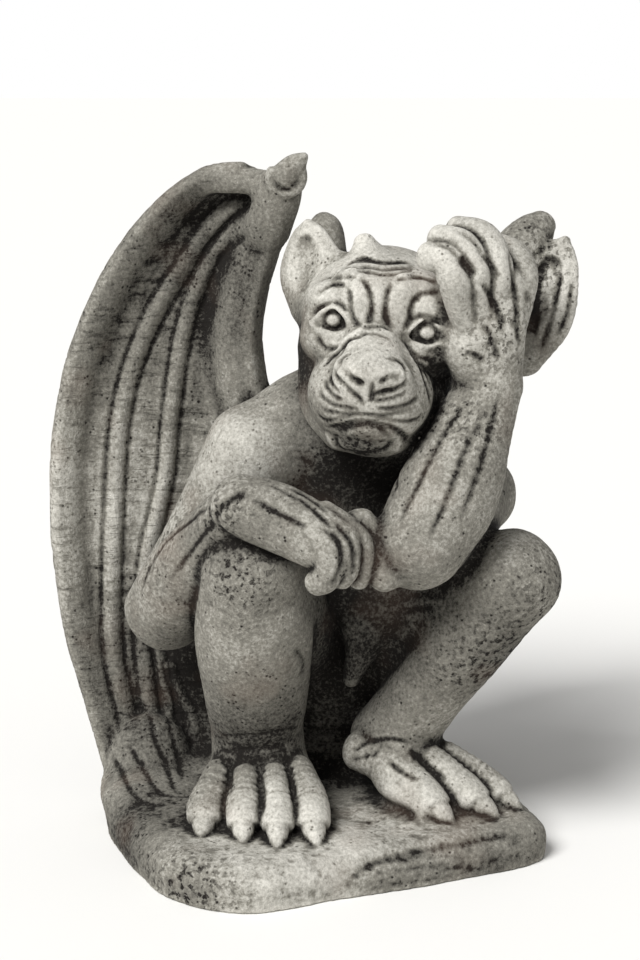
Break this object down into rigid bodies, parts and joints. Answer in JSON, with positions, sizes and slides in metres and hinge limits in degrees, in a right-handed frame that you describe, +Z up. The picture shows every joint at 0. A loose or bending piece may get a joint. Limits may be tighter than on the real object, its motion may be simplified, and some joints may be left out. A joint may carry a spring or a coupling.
{
  "type": "cast-stone gargoyle statue",
  "caption": "Crouching winged gargoyle cast in stone, head propped on one hand, squatting on a rough slab that rests flat.",
  "frame": {"origin": "on the flat underside of the slab, below the middle of the crouching figure", "axes": "+Z up; the face looks along -Y; +X to the right of someone facing it, the figure's left"},
  "size_m": [0.3215, 0.3319, 0.4191],
  "materials": {
    "cast_stone": "weathered grey cast stone, pale on the high ground, near-black patina in the hollows, fine casting pits"
  },
  "bodies": {
    "root": {"gargoyle": "cast_stone"}
  },
  "joints": []
}
